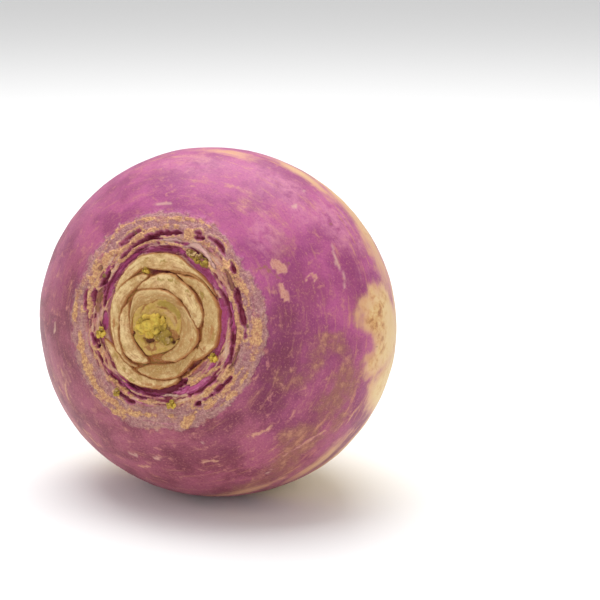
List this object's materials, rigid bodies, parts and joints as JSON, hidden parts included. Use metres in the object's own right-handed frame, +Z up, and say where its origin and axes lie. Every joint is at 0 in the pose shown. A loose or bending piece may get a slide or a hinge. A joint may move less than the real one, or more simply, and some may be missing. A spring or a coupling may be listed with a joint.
{
  "type": "turnip",
  "caption": "Squat purple-topped turnip root lying on its flank, with a cork ring, spiral leaf stumps and side buds on the crown, and a trimmed tap root.",
  "frame": {"origin": "centre of the flat resting spot on the flank, on the surface that the turnip lies on", "axes": "+Z up, away from the surface; +X across the turnip's widest girth; the crown faces -Y and looks 14 degrees above level; the tap root points to +Y"},
  "size_m": [0.098, 0.0887, 0.0911],
  "materials": {
    "skin": "waxy root skin, purple at the crown and cream at the base",
    "cut_leaf_base": "dry cut leaf stalk",
    "heart_flesh": "dry cut pith",
    "bud_green": "matt yellow-green bud"
  },
  "bodies": {
    "root": {"root": "skin", "leaf_base_1": "cut_leaf_base", "leaf_base_2": "cut_leaf_base", "leaf_base_3": "cut_leaf_base", "leaf_base_4": "cut_leaf_base", "leaf_base_5": "cut_leaf_base", "leaf_base_6": "cut_leaf_base", "leaf_base_7": "cut_leaf_base", "leaf_base_8": "cut_leaf_base", "heart_core": "heart_flesh", "heart_bud": "bud_green", "side_bud_1": "bud_green", "side_bud_2": "bud_green", "side_bud_3": "bud_green", "side_bud_4": "bud_green", "side_bud_5": "bud_green", "side_bud_6": "bud_green"}
  },
  "joints": []
}
